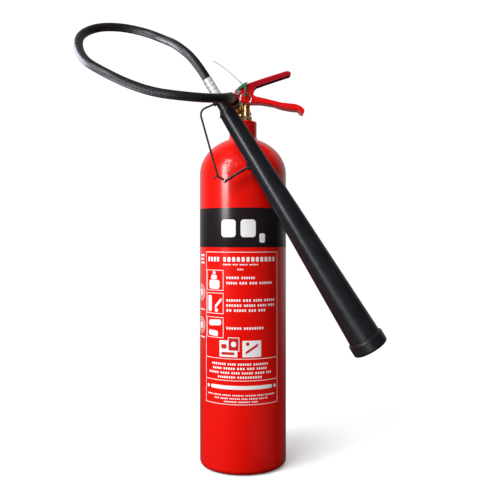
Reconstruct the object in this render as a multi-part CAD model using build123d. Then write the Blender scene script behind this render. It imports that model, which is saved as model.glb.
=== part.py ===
from build123d import *
import math
import os

# Portable carbon dioxide fire extinguisher, standing on its base.
# Frame: origin at the centre of the foot ring, +Z up along the cylinder, +X towards the grips,
# -Y towards the front, where the discharge horn hangs. Millimetres.

# ---------------------------------------------------------------- driving dimensions
CYL_R = 70.0            # cylinder outside radius (140 mm, a stock size)
WALL = 4.5              # cylinder wall
WALL_TOP = 469.0        # top of the straight wall
DOME_H = 60.0           # height of the shoulder's ellipse
NECK_R = 22.2           # neck ring outside radius
NECK_TOP = 555.0        # top of the neck ring
FOOT_R = 61.0           # outer radius of the flat foot ring
FOOT_RI = 50.0          # inner radius of the flat foot ring

PORT = Vector(-12.0, 0.0, 576.0)    # where the outlet port's axis crosses y = 0, on the valve's left
PORT_DIR = Vector(-0.05, -0.997, 0.058).normalized()

LEVER_PIVOT = (-8.0, 601.0)     # x, z of the lever's pivot pin
PIN_XZ = (4.5, 597.5)           # x, z of the safety pin
SHEET = 2.0                     # pressed steel thickness of the carry handle
LEVER_SHEET = 1.8
HANDLE_HALF = 13.0              # half width of the carry handle's channel
LEVER_HALF = 10.8               # half width of the operating lever's channel

HORN_TOP = Vector(-23.25, -88.0, 556.2)
HORN_MOUTH = Vector(196.3, -74.5, 198.0)
HORN_R0 = 12.6
HORN_R1 = 25.2
RIM_R = 28.4
HORN_WALL = 2.2
GRIP_R = 8.3

HOSE_D = 13.5
PORT_END = 64.0         # distance of the hose's start along the port's axis
HOSE_END = 58.0         # distance of the hose's end above the horn's top

WIRE_R = 1.55
STAY_R = 2.2
SLEEVE_R = 9.2
STAY_S = 87.2           # the stay's distance below the horn's top

os.makedirs("parts", exist_ok=True)


def save(shape, name):
    export_step(shape, "parts/%s.step" % name)


def turned(points, axis_plane=Plane.XZ):
    """Solid of revolution about Z from (r, z) points joined by straight lines."""
    with BuildPart() as bp:
        with BuildSketch(Plane.XZ):
            with BuildLine():
                Polyline(*points, close=True)
            make_face()
        revolve(axis=Axis.Z)
    return bp.part


def rod(start, direction, r, length, r_in=0.0):
    plane = Plane(origin=start, z_dir=direction)
    body = extrude(plane * Circle(r), amount=length)
    if r_in > 0:
        body = body - extrude(plane * Circle(r_in), amount=length)
    return body


def box_at(x0, x1, y0, y1, z0, z1):
    return Pos((x0 + x1) / 2, (y0 + y1) / 2, (z0 + z1) / 2) * Box(x1 - x0, y1 - y0, z1 - z0)


def side_profile(points, half):
    """Plate with the (x, z) outline, from -half to +half in y."""
    face = make_face(Polyline(*[(x, -half, z) for x, z in points], close=True))
    return extrude(face, amount=2 * half, dir=(0, 1, 0))


# ---------------------------------------------------------------- cylinder
def ellipse_pts(a, b, z0, r_end, n=14):
    """Points of the quarter ellipse from (a, z0) to radius r_end."""
    t_end = math.acos(r_end / a)
    return [(a * math.cos(t_end * i / n), z0 + b * math.sin(t_end * i / n)) for i in range(n + 1)]


def axis_arc_mid(z_axis, r_end, z_end):
    """Middle point of the arc from (0, z_axis) to (r_end, z_end) whose centre is on the axis."""
    drop = z_axis - z_end
    rs = (r_end ** 2 + drop ** 2) / (2 * drop)
    r = r_end / 2
    return (r, z_axis - (rs - math.sqrt(rs ** 2 - r ** 2)))


with BuildPart() as shell:
    with BuildSketch(Plane.XZ):
        with BuildLine():
            neck_in = 12.0
            neck_out = 17.5
            # underside: concave base, flat foot ring, rounded heel
            l1 = ThreePointArc((0, 15.0), axis_arc_mid(15.0, FOOT_RI - 3.0, 1.8), (FOOT_RI - 3.0, 1.8))
            l2 = ThreePointArc(l1 @ 1, (FOOT_RI - 1.6, 0.5), (FOOT_RI, 0.0))
            l3 = Line(l2 @ 1, (FOOT_R, 0.0))
            l4 = ThreePointArc(l3 @ 1, (67.36, 2.64), (CYL_R, 9.0))
            l5 = Line(l4 @ 1, (CYL_R, WALL_TOP))
            outer = ellipse_pts(CYL_R, DOME_H, WALL_TOP, 26.5)
            l6 = Spline(*outer, tangents=[(0, 1), (-(outer[-1][1] - WALL_TOP) / DOME_H ** 2, 26.5 / CYL_R ** 2)])
            l7 = ThreePointArc(l6 @ 1, (23.3, 527.3), (NECK_R, 530.0))
            l8 = Line(l7 @ 1, (NECK_R, 531.0))
            l9 = Line(l8 @ 1, (neck_out, 531.0))
            l10 = Line(l9 @ 1, (neck_out, 553.5))
            l11 = Line(l10 @ 1, (neck_in, 553.5))
            ai, bi = CYL_R - WALL, DOME_H - WALL
            inner = ellipse_pts(ai, bi, WALL_TOP, neck_in)[::-1]
            l12 = Line(l11 @ 1, inner[0])
            l14 = Spline(*inner, tangents=[((inner[0][1] - WALL_TOP) / bi ** 2, -neck_in / ai ** 2), (0, -1)])
            l15 = Line(l14 @ 1, (ai, 20.0))
            l16 = ThreePointArc(l15 @ 1, (62.0, 11.4), (53.5, 8.0))
            l17 = ThreePointArc(l16 @ 1, (48.0, 9.0), (43.0, 12.5))
            l18 = ThreePointArc(l17 @ 1, axis_arc_mid(23.0, 43.0, 12.5), (0, 23.0))
            l19 = Line(l18 @ 1, l1 @ 0)
        make_face()
    revolve(axis=Axis.Z)
save(shell.part, "cylinder_shell")

# threaded ring shrunk on the neck, with a small chamfer at its top
ring = turned([(17.5, 531.0), (NECK_R, 531.0), (NECK_R, NECK_TOP - 1.2), (NECK_R - 1.2, NECK_TOP),
               (18.7, NECK_TOP), (17.5, NECK_TOP - 1.0)])
save(ring, "neck_ring")

# ---------------------------------------------------------------- valve body
valve = turned([
    (7.0, 531.0), (11.0, 531.0), (12.0, 533.0), (12.0, 553.5), (12.0, 555.0),
    (13.2, 555.0), (13.2, 556.6), (12.2, 557.6), (11.4, 560.5), (11.4, 583.2), (10.8, 584.0), (8.0, 584.0),
    (8.0, 590.4), (7.4, 591.0), (5.2, 591.0), (5.2, 587.0), (2.56, 587.0), (2.56, 585.0),
    (4.4, 584.0), (4.4, 569.0), (7.0, 569.0)])
# hexagon for the spanner, on the flange above the neck
flange = extrude(Pos(0, 0, 558.0) * RegularPolygon(15.2, 6), amount=5.0) - Pos(0, 0, 560.5) * Cylinder(8.0, 6.0)
flange = flange & (Pos(0, 0, 560.5) * Cylinder(14.6, 5.0))
valve = valve + flange
# side lug with the outlet port, which faces forward
lug_pts = Pos(-8.0, 0, 575.7) * Box(12.0, 15.0, 15.6)
lug_pts = fillet(lug_pts.edges().filter_by(Axis.X), 3.0)
boss = rod(PORT - PORT_DIR * 7.2, PORT_DIR, 7.2, 32.0)
valve = valve + ((lug_pts + boss) - Pos(0, 0, 575.0) * Cylinder(6.0, 40.0))
# outlet port bore, with a wider mouth that takes the hose's nipple, and its cross drilling from the gallery
valve = valve - rod(PORT + PORT_DIR * 0.0, PORT_DIR, 2.6, 26.0)
valve = valve - rod(PORT + PORT_DIR * 14.8, PORT_DIR, 5.05, 11.0)
valve = valve - rod(PORT, Vector(1, 0, 0), 2.6, 11.0)
# burst disc boss at the back
BACK = Vector(0.3, 0.954, 0.0).normalized()
BACK_Z = 572.0
bo = Vector(0, 0, BACK_Z)
bossb = rod(bo + BACK * 7.5, BACK, 7.4, 10.5)
valve = valve + (bossb - Pos(0, 0, BACK_Z) * Cylinder(7.5, 30.0))
valve = valve - rod(bo + BACK * 5.0, BACK, 2.0, 14.0)
valve = valve - rod(bo + BACK * 13.0, BACK, 5.0, 6.0)
# wash clean of the gallery
valve = valve - Pos(0, 0, 550.0) * Cylinder(7.0, 38.0)
save(valve, "valve_body")

# spring seat plug screwed into the valve's bottom, with a spigot for the dip tube
plug = turned([(3.0, 519.0), (4.6, 519.0), (4.6, 531.0), (7.0, 531.0), (7.0, 538.0), (3.0, 538.0)])
save(plug, "spring_seat_plug")

# dip tube, cut at a slant near the bottom
dip = Pos(0, 0, (531.0 + 28.0) / 2) * Cylinder(6.0, 531.0 - 28.0) - Pos(0, 0, (531.0 + 28.0) / 2) * Cylinder(4.6, 531.0 - 28.0)
cutter = Pos(0, 0, 28.0) * Rot(0, 35, 0) * Pos(0, 0, -10) * Box(40, 40, 20)
dip = dip - cutter
save(dip, "dip_tube")

# nylon seat pressed in the valve body
seat = turned([(3.6, 566.0), (7.0, 566.0), (7.0, 569.0), (3.6, 569.0)])
save(seat, "valve_seat")

# spindle with its poppet and its seal disc
spindle = turned([(0, 551.5), (2.4, 551.5), (2.4, 557.0), (6.0, 557.0), (6.0, 562.0), (2.5, 562.0),
                  (2.5, 605.6), (2.0, 606.2), (0, 606.2)])
save(spindle, "valve_spindle")
seal = turned([(2.5, 562.0), (5.6, 562.0), (5.6, 565.2), (4.9, 565.9), (2.5, 565.9)])
save(seal, "spindle_seal")

# closing spring between the plug and the poppet
SPRING_R = 4.3
SPRING_W = 0.65
s_lo = 538.0 + SPRING_W + 0.1
s_hi = 557.0 - SPRING_W - 0.1
helix = Helix(pitch=(s_hi - s_lo) / 5.0, height=s_hi - s_lo, radius=SPRING_R, center=(0, 0, s_lo))
spring = sweep(Plane(origin=helix @ 0, z_dir=helix % 0) * Circle(SPRING_W), path=helix, is_frenet=True)
save(spring, "valve_spring")

# gland: O-ring and gland nut
oring = Pos(0, 0, 588.25) * Torus(3.8, 1.2)
save(oring, "spindle_o_ring")
gland = turned([(2.56, 589.5), (5.15, 589.5), (5.15, 591.0), (7.2, 591.0), (7.2, 594.0), (6.7, 594.5), (2.56, 594.5)])
hexg = extrude(Pos(0, 0, 589.0) * RegularPolygon(6.95, 6), amount=7.0)
gland = gland & (hexg + Pos(0, 0, 589.5) * Cylinder(5.2, 3.0))
save(gland, "gland_nut")

# jam nut that clamps the carry handle's web on the valve's shoulder
jam = extrude(Pos(0, 0, 586.0) * RegularPolygon(10.6, 6), amount=4.0) - Pos(0, 0, 588.0) * Cylinder(8.0, 8.0)
jam = jam & (Pos(0, 0, 588.0) * Cylinder(10.1, 4.0))
save(jam, "handle_jam_nut")

# burst disc, its washer and its plug
washer = rod(bo + BACK * 13.0, BACK, 5.0, 0.8, 2.0)
save(washer, "burst_disc_washer")
disc = rod(bo + BACK * 13.8, BACK, 5.0, 0.4)
save(disc, "burst_disc")
bp = rod(bo + BACK * 14.2, BACK, 5.0, 4.0) + rod(bo + BACK * 18.0, BACK, 7.4, 1.6)
hexp = extrude(Plane(origin=bo + BACK * 19.6, z_dir=BACK) * RegularPolygon(7.2, 6), amount=5.4)
bp = bp + hexp
bp = bp - rod(bo + BACK * 14.2, BACK, 1.6, 8.0)
# vent holes across the plug's hexagon
bp = bp - rod(bo + BACK * 22.0 - Vector(0, 0, 9.0), Vector(0, 0, 1), 1.3, 18.0)
save(bp, "burst_disc_plug")

# ---------------------------------------------------------------- carry handle (lower grip)
TOP_EDGE = [(-14.0, 600.5), (-12.6, 604.6), (-9.5, 606.9), (-5.5, 607.0), (-1.0, 605.2), (8.0, 601.4), (16.3, 598.2),
            (20.4, 594.8), (37.0, 591.2), (62.0, 584.9), (85.3, 582.4), (93.6, 579.1), (99.5, 573.3), (98.7, 567.4)]
LOW_EDGE = [(94.6, 567.4), (89.5, 572.3), (78.6, 573.3), (64.6, 575.7), (49.6, 580.6), (28.7, 584.0), (-14.0, 584.0)]


def bottom_z(x):
    pts = sorted(LOW_EDGE)
    for (xa, za), (xb, zb) in zip(pts, pts[1:]):
        if xa <= x <= xb:
            return za + (zb - za) * (x - xa) / (xb - xa)
    return pts[0][1]


handle = side_profile(TOP_EDGE + LOW_EDGE, HANDLE_HALF)
# hollow of the channel: open above, with the web following the lower edge
hollow = [(-16.0, 586.0), (28.9, 586.0), (50.2, 582.6), (65.1, 577.7), (78.9, 575.3), (90.4, 574.2), (96.0, 568.8),
          (97.4, 566.0), (103.0, 566.0), (103.0, 612.0), (-16.0, 612.0)]
room = side_profile(hollow, HANDLE_HALF - SHEET)
inner_low = [e for e in room.edges() if abs(abs(e.center().Y) - (HANDLE_HALF - SHEET)) < 0.01
             and -15 < e.center().X < 88 and e.center().Z < 588.0 and abs((e % 0.5).X) > 0.9]
room = fillet(inner_low, 0.8)
handle = handle - room
# rounded outer corners along the channel
try:
    low = [e for e in handle.edges() if abs(abs(e.center().Y) - HANDLE_HALF) < 0.01
           and 0 < e.center().X < 92 and abs(e.center().Z - bottom_z(e.center().X)) < 0.6]
    handle = fillet(low, 2.6)
except Exception as err:
    print("handle fillet left out:", err)
# hole over the valve's neck, pivot and safety pin holes
handle = handle - Pos(0, 0, 585.0) * Cylinder(8.02, 6.0)
handle = handle - rod(Vector(LEVER_PIVOT[0], -20, LEVER_PIVOT[1]), Vector(0, 1, 0), 2.5, 40.0)
handle = handle - rod(Vector(PIN_XZ[0], -20, PIN_XZ[1]), Vector(0, 1, 0), 1.68, 40.0)
save(handle, "carry_handle")

# ---------------------------------------------------------------- operating lever (upper grip)
LEVER_TOP = [(-13.2, 600.0), (-12.2, 604.2), (-8.8, 606.2), (-5.0, 606.9), (0.0, 611.0), (5.0, 615.2), (9.6, 617.3), (37.0, 626.4),
             (70.3, 636.9), (75.3, 636.2), (77.8, 632.2)]
LEVER_LOW = [(76.4, 629.9), (62.0, 625.2), (37.0, 616.9), (21.8, 611.4), (18.3, 607.6), (15.8, 597.4), (12.5, 595.2), (-8.0, 595.2), (-12.0, 597.0)]
lever = side_profile(LEVER_TOP + LEVER_LOW, LEVER_HALF)
lev_hollow = [(-20.0, 590.0), (-20.0, 603.6), (-8.6, 604.2), (-5.6, 604.9), (1.0, 610.2), (5.8, 613.6), (10.2, 615.5), (37.6, 624.6), (70.6, 635.0),
              (74.2, 634.5), (76.0, 631.9), (78.4, 627.0), (90.0, 600.0), (30.0, 590.0)]
room = side_profile(lev_hollow, LEVER_HALF - LEVER_SHEET)
inner_up = [e for e in room.edges() if abs(abs(e.center().Y) - (LEVER_HALF - LEVER_SHEET)) < 0.01
            and 7 < e.center().X < 72 and e.center().Z > 612.0 and abs((e % 0.5).X) > 0.8]
room = fillet(inner_up, 2.2)
lever = lever - room
try:
    def top_z(x):
        for (xa, za), (xb, zb) in zip(LEVER_TOP, LEVER_TOP[1:]):
            if xa <= x <= xb:
                return za + (zb - za) * (x - xa) / (xb - xa)
        return 0.0
    up = [e for e in lever.edges() if abs(abs(e.center().Y) - LEVER_HALF) < 0.01
          and 6 < e.center().X < 74 and abs(e.center().Z - top_z(e.center().X)) < 0.6]
    lever = fillet(up, 3.6)
except Exception as err:
    print("lever fillet left out:", err)
# pressed dimple that bears on the spindle's top
DIMPLE_R = 2.4
DIMPLE_Z = 606.25 + DIMPLE_R
dimple = Pos(0, 0, DIMPLE_Z) * Sphere(DIMPLE_R)
stem = Pos(0, 0, DIMPLE_Z + 0.8) * Cylinder(DIMPLE_R, 1.6)
lever = lever + ((dimple + stem) & side_profile(LEVER_TOP + [(77.8, 600.0), (-13.0, 600.0)], LEVER_HALF - 1.0))
# pivot holes, and the clearance notch that lets the cheeks pass the safety pin
lever = lever - rod(Vector(LEVER_PIVOT[0], -20, LEVER_PIVOT[1]), Vector(0, 1, 0), 2.56, 40.0)
notch = side_profile([(PIN_XZ[0] - 2.1, 590.0), (PIN_XZ[0] + 3.0, 590.0), (PIN_XZ[0] + 3.0, 602.4), (PIN_XZ[0] + 1.6, 603.8),
                      (PIN_XZ[0] - 0.6, 603.8), (PIN_XZ[0] - 2.1, 602.4)], LEVER_HALF + 1.0)
lever = lever - notch
save(lever, "operating_lever")

# pivot pin, riveted over at both ends
px, pz = LEVER_PIVOT
pivot = rod(Vector(px, -HANDLE_HALF - 1.6, pz), Vector(0, 1, 0), 2.5, 2 * HANDLE_HALF + 3.2)
pivot = pivot + rod(Vector(px, -HANDLE_HALF - 1.6, pz), Vector(0, 1, 0), 4.0, 1.6)
pivot = pivot + rod(Vector(px, HANDLE_HALF, pz), Vector(0, 1, 0), 4.0, 1.6)
save(pivot, "lever_pivot_pin")

# ---------------------------------------------------------------- safety pin, pull ring, tamper seal
EYE_Y = -21.5
sx, sz = PIN_XZ
spin = rod(Vector(sx, EYE_Y + 2.0, sz), Vector(0, 1, 0), 1.6, 16.0 - EYE_Y - 2.0)
spin = spin + Pos(sx, 16.0, sz) * Sphere(1.6)
eye = rod(Vector(sx - 1.1, EYE_Y, sz), Vector(1, 0, 0), 3.6, 2.2)
spin = spin + eye - rod(Vector(sx - 3.0, EYE_Y, sz), Vector(1, 0, 0), 1.75, 6.0)
save(spin, "safety_pin")

RING_R = 8.7
RING_W = 0.95
pull = Pos(sx, EYE_Y, sz - RING_R) * Rot(90, 0, 0) * Torus(RING_R, RING_W)
save(pull, "pull_ring")

# moulded tamper seal: a loop round the pin, a stem, a flag and its long tail
loop = rod(Vector(sx, -15.4, sz), Vector(0, 1, 0), 3.4, 2.4, 2.0)
stem2 = side_profile([(3.2, 600.2), (5.6, 600.2), (4.6, 612.0), (1.4, 611.2)], 1.0)
flag = side_profile([(-9.3, 606.4), (-7.4, 605.0), (0.5, 609.8), (6.6, 615.0), (7.6, 617.2), (5.2, 617.4), (-1.2, 613.6), (-6.4, 609.8)], 1.1)
tail_pts = [(1.4, -14.2, 612.2), (-4.4, -14.2, 617.6), (-14.6, -14.2, 626.8), (-26.0, -14.2, 637.0), (-38.4, -14.2, 646.3), (-48.2, -14.2, 651.8)]
tail_path = FilletPolyline(*tail_pts, radius=8.0)
tail = sweep(Plane(origin=tail_path @ 0, z_dir=tail_path % 0) * Circle(0.8), path=tail_path)
sealer = loop + Pos(0, -14.2, 0) * (stem2 + flag) + tail
save(sealer, "tamper_seal")

# ---------------------------------------------------------------- outlet union and the hose's valve end
def along(s):
    return PORT + PORT_DIR * s


nut = extrude(Plane(origin=along(16.0), z_dir=PORT_DIR) * RegularPolygon(10.9, 6), amount=18.6)
nut = nut & rod(along(16.0), PORT_DIR, 10.4, 18.6)
nut = nut - rod(along(15.0), PORT_DIR, 7.2, 9.8) - rod(along(24.8), PORT_DIR, 7.6, 5.2) - rod(along(29.0), PORT_DIR, 6.06, 8.0)
save(nut, "outlet_union_nut")

nipple = (rod(along(15.2), PORT_DIR, 5.0, 11.0) + rod(along(24.9), PORT_DIR, 7.5, 5.0)
          + rod(along(29.0), PORT_DIR, 6.0, 8.0) + rod(along(36.5), PORT_DIR, 3.2, 26.5))
nipple = nipple - rod(along(13.0), PORT_DIR, 2.0, 60.0)
save(nipple, "hose_nipple")

# crimped sleeve over the hose's valve end, with three pressed grooves
SL0 = 36.6
sleeve = rod(along(SL0), PORT_DIR, SLEEVE_R, PORT_END - SL0, 3.2)
sleeve = sleeve - rod(along(SL0), PORT_DIR, 6.0, 0.4)
for s in (43.0, 49.0, 55.0):
    sleeve = sleeve - (rod(along(s), PORT_DIR, 12.0, 2.2) - rod(along(s), PORT_DIR, SLEEVE_R - 0.5, 2.2))
ends = [e for e in sleeve.edges() if e.geom_type == GeomType.CIRCLE and abs(e.radius - SLEEVE_R) < 0.01
        and min(abs((e.arc_center - PORT).dot(PORT_DIR) - q) for q in (SL0, PORT_END)) < 0.01]
sleeve = fillet(ends, 1.8)
save(sleeve, "hose_sleeve_valve_end")

# ---------------------------------------------------------------- hose
U = (HORN_MOUTH - HORN_TOP).normalized()
HORN_LEN = (HORN_MOUTH - HORN_TOP).length
hose_start = along(PORT_END)
hose_stop = HORN_TOP - U * HOSE_END
ROUTE = [
    hose_start,
    along(PORT_END + 20.8),
    Vector(-20.8, -121.4, 571.4),
    Vector(-44.2, -151.7, 564.4),
    Vector(-83.0, -166.6, 564.7),
    Vector(-123.4, -165.4, 570.3),
    Vector(-158.8, -164.2, 582.2),
    Vector(-192.0, -160.4, 598.6),
    Vector(-230.8, -137.8, 623.3),
    Vector(-251.1, -83.2, 669.7),
    Vector(-234.3, -44.0, 696.4),
    Vector(-199.9, -19.3, 705.2),
    Vector(-157.7, -13.8, 698.2),
    Vector(-122.3, -31.1, 680.3),
    Vector(-100.4, -75.2, 661.1),
    hose_stop - U * 33.1,
    hose_stop,
]
radii = []
for p, q, r in zip(ROUTE, ROUTE[1:], ROUTE[2:]):
    turn = math.radians((q - p).get_angle(r - q))
    short = min((q - p).length, (r - q).length)
    radii.append(0.45 * short / math.tan(turn / 2))
print("route:", [tuple(round(c, 1) for c in v) for v in ROUTE])
print("hose radii:", [round(x, 1) for x in radii])
path = FilletPolyline(*ROUTE, radius=radii)
hose = sweep(Plane(origin=path @ 0, z_dir=path % 0) * Circle(HOSE_D / 2), path=path)
print("hose length", round(path.length, 1), "volume ratio", round(hose.volume / (math.pi * HOSE_D ** 2 / 4 * path.length), 4))
save(hose, "hose")

# ---------------------------------------------------------------- horn assembly, built along its own axis
side = Vector(-0.8522, 0.0, -0.5223)
side = (side - U * side.dot(U)).normalized()
HP = Plane(origin=HORN_TOP, x_dir=side, z_dir=U)


def horn_turned(points):
    """Solid of revolution about the horn's axis, from (radius, distance below the horn's top) points."""
    return HP.location * turned(points)


# bright crimped sleeve on the hose's horn end
s0, s1 = -HOSE_END, -24.0
fer_pts = [(3.2, s0), (6.6, s0), (7.5, s0 + 0.9), (7.5, s0 + 6.0), (7.1, s0 + 6.5), (7.1, s0 + 8.6), (7.5, s0 + 9.1), (7.5, s0 + 13.0), (7.1, s0 + 13.5),
           (7.1, s0 + 15.6), (7.5, s0 + 16.1), (7.5, s0 + 20.0), (7.1, s0 + 20.5), (7.1, s0 + 22.6), (7.5, s0 + 23.1), (7.5, s1 - 3.0), (7.9, s1 - 2.6), (7.9, s1), (3.2, s1)]
save(horn_turned(fer_pts), "hose_sleeve_horn_end")
save(horn_turned([(1.9, s0 + 1.0), (3.2, s0 + 1.0), (3.2, s1), (4.6, s1), (4.6, -6.0), (1.9, -6.0)]), "horn_nipple")

# moulded grip between the sleeve and the horn
grip = turned([(4.6, s1), (GRIP_R - 1.4, s1), (GRIP_R - 0.9, s1 + 0.6), (GRIP_R, s1 + 9.0), (GRIP_R, -9.0), (GRIP_R + 0.6, -6.0), (11.2, -2.2), (11.2, 0.0), (4.6, 0.0)])
wire_from = Vector(8.4, 0, -19.8)
wire_dir = (Vector(34.4, 0, -23.4) - wire_from).normalized()
grip = grip + rod(wire_from - wire_dir * 3.0, wire_dir, 3.4, 6.4) - Pos(0, 0, -12.0) * Cylinder(4.6, 24.0)
grip = grip - rod(wire_from, wire_dir, WIRE_R, 8.0)
save(HP.location * grip, "horn_grip")

# brass jet in the horn's throat
save(horn_turned([(1.2, -6.0), (4.6, -6.0), (4.6, 0.0), (6.0, 0.0), (6.0, 4.0), (3.0, 12.0), (1.2, 12.0)]), "horn_jet")


def horn_r(s):
    return HORN_R0 + (HORN_R1 - HORN_R0) * s / 392.0


L = HORN_LEN
horn_pts = [(6.0, 0.0), (HORN_R0 + 0.5, 0.0), (HORN_R0 + 0.9, 0.6), (HORN_R0 + 0.9, 2.6), (horn_r(4.0), 3.6), (horn_r(399.6), 399.6),
            (horn_r(399.6) + 0.5, 400.0), (RIM_R - 0.7, 401.4), (RIM_R - 0.1, 402.2), (RIM_R, 403.4), (RIM_R, L - 3.4), (RIM_R - 0.4, L - 1.8),
            (RIM_R - 1.3, L - 0.6), (RIM_R - 2.5, L), (RIM_R - 3.6, L - 0.5), (RIM_R - 4.4, L - 2.0),
            (horn_r(396.0) - HORN_WALL, 396.0), (horn_r(24.0) - HORN_WALL, 24.0), (8.4, 12.0), (6.0, 4.0)]
horn = turned(horn_pts)
# screw boss for the handle's stay, on the horn's side
r_here = horn_r(STAY_S)
lug = rod(Vector(r_here - 1.6, 0, STAY_S), Vector(1, 0, 0), 4.2, 4.6)
horn = horn + lug - rod(Vector(r_here - 0.2, 0, STAY_S), Vector(1, 0, 0), STAY_R, 8.0)
save(HP.location * horn, "discharge_horn")

# stay with its ball end, and the wire handle bent from the grip to the ball
stay = rod(Vector(r_here - 0.2, 0, STAY_S), Vector(1, 0, 0), STAY_R, 57.0 - r_here + 0.2) + Pos(57.0, 0, STAY_S) * Sphere(2.7)
save(HP.location * stay, "handle_stay")

wire_pts = [(8.4, 0, -19.8), (34.4, 0, -23.4), (62.4, 0, 74.8), (57.4, 0, 84.6)]
wire_path = FilletPolyline(*wire_pts, radius=[11.0, 4.0])
wire = sweep(Plane(origin=wire_path @ 0, z_dir=wire_path % 0) * Circle(WIRE_R), path=wire_path)
stub = rod(Vector(61.4, 0, 73.8), Vector(0.97, 0, 0.2), 1.2, 9.0)
wire = wire + stub
save(HP.location * wire, "wire_handle")
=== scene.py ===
import math
import random

import bmesh
import bpy
from mathutils import Matrix, Vector


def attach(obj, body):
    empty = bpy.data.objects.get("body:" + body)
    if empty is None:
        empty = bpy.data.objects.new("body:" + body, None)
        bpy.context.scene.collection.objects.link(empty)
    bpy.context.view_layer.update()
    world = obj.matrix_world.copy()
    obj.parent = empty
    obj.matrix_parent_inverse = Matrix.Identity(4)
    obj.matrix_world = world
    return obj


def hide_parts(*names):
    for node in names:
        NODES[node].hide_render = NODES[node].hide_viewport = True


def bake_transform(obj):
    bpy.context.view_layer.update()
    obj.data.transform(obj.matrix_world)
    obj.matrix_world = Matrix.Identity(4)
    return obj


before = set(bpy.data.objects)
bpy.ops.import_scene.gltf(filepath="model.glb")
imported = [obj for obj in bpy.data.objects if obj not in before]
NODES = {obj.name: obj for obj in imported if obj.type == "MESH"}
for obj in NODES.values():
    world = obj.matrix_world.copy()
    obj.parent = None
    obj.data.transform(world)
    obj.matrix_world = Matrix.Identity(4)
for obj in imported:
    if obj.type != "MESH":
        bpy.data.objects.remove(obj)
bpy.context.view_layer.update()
scene = bpy.context.scene
coll = scene.collection
BODY = "extinguisher"
SWIVEL = "hose_and_horn"

# ------------------------------------------------------------------ camera
cam_data = bpy.data.cameras.new("camera")
cam_data.sensor_width = 36.0
cam_data.lens = 50.98
cam_data.shift_y = -0.028
cam_data.clip_start = 0.02
cam_data.clip_end = 60.0
camera = bpy.data.objects.new("camera", cam_data)
camera.location = (0.0114, -1.155, 0.3694)
camera.rotation_euler = (math.radians(90), 0, 0)
coll.objects.link(camera)
scene.camera = camera

# ------------------------------------------------------------------ hose
HOSE_D = 0.0135
ROUTE = [
    (-0.01520, -0.06380, 0.57970),
    (-0.01620, -0.08460, 0.58090),
    (-0.02080, -0.12140, 0.57140),
    (-0.04420, -0.15170, 0.56440),
    (-0.08300, -0.16660, 0.56470),
    (-0.12340, -0.16540, 0.57030),
    (-0.15880, -0.16420, 0.58220),
    (-0.19200, -0.16040, 0.59860),
    (-0.23080, -0.13780, 0.62330),
    (-0.25110, -0.08320, 0.66970),
    (-0.23430, -0.04400, 0.69640),
    (-0.19990, -0.01930, 0.70520),
    (-0.15770, -0.01380, 0.69820),
    (-0.12230, -0.03110, 0.68030),
    (-0.10040, -0.07520, 0.66110),
    (-0.07080, -0.09090, 0.63380),
    (-0.05350, -0.08990, 0.60560),
]
HORN_TOP = Vector((-0.02325, -0.0880, 0.5562))
HORN_MOUTH = Vector((0.1963, -0.0745, 0.1980))
U = (HORN_MOUTH - HORN_TOP).normalized()
HORN_LEN = (HORN_MOUTH - HORN_TOP).length
PORT = Vector((-0.012, 0.0, 0.576))
PORT_DIR = Vector((-0.05, -0.997, 0.058)).normalized()


def nurbs_line(name, points):
    cu = bpy.data.curves.new(name, "CURVE")
    cu.dimensions = "3D"
    sp = cu.splines.new("NURBS")
    sp.points.add(len(points) - 1)
    for p, q in zip(sp.points, points):
        p.co = (*q, 1.0)
    sp.order_u = 3
    sp.use_endpoint_u = True
    sp.resolution_u = 40
    cu.resolution_u = 40
    ob = bpy.data.objects.new(name, cu)
    coll.objects.link(ob)
    return ob


def follow(points):
    """Points along the smooth NURBS line through a route, as the curve evaluates them."""
    ob = nurbs_line("line_tmp", points)
    bpy.context.view_layer.update()
    me = bpy.data.meshes.new_from_object(ob.evaluated_get(bpy.context.evaluated_depsgraph_get()))
    raw = [v.co.copy() for v in me.vertices]
    cu = ob.data
    bpy.data.objects.remove(ob)
    bpy.data.curves.remove(cu)
    bpy.data.meshes.remove(me)
    return raw


def resample(raw, step):
    lens = [0.0]
    for a, b in zip(raw, raw[1:]):
        lens.append(lens[-1] + (b - a).length)
    total = lens[-1]
    n = max(2, int(round(total / step)))
    out, j = [], 0
    for i in range(n + 1):
        s = total * i / n
        while j < len(lens) - 2 and lens[j + 1] < s:
            j += 1
        span = lens[j + 1] - lens[j]
        t = 0.0 if span < 1e-12 else (s - lens[j]) / span
        out.append(raw[j].lerp(raw[j + 1], min(1.0, max(0.0, t))))
    return out, total


def mesh_object(name, bm, smooth_angle=35.0):
    bmesh.ops.recalc_face_normals(bm, faces=bm.faces)
    me = bpy.data.meshes.new(name)
    bm.to_mesh(me)
    bm.free()
    for p in me.polygons:
        p.use_smooth = True
    me.set_sharp_from_angle(angle=math.radians(smooth_angle))
    ob = bpy.data.objects.new(name, me)
    coll.objects.link(ob)
    return ob


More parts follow.
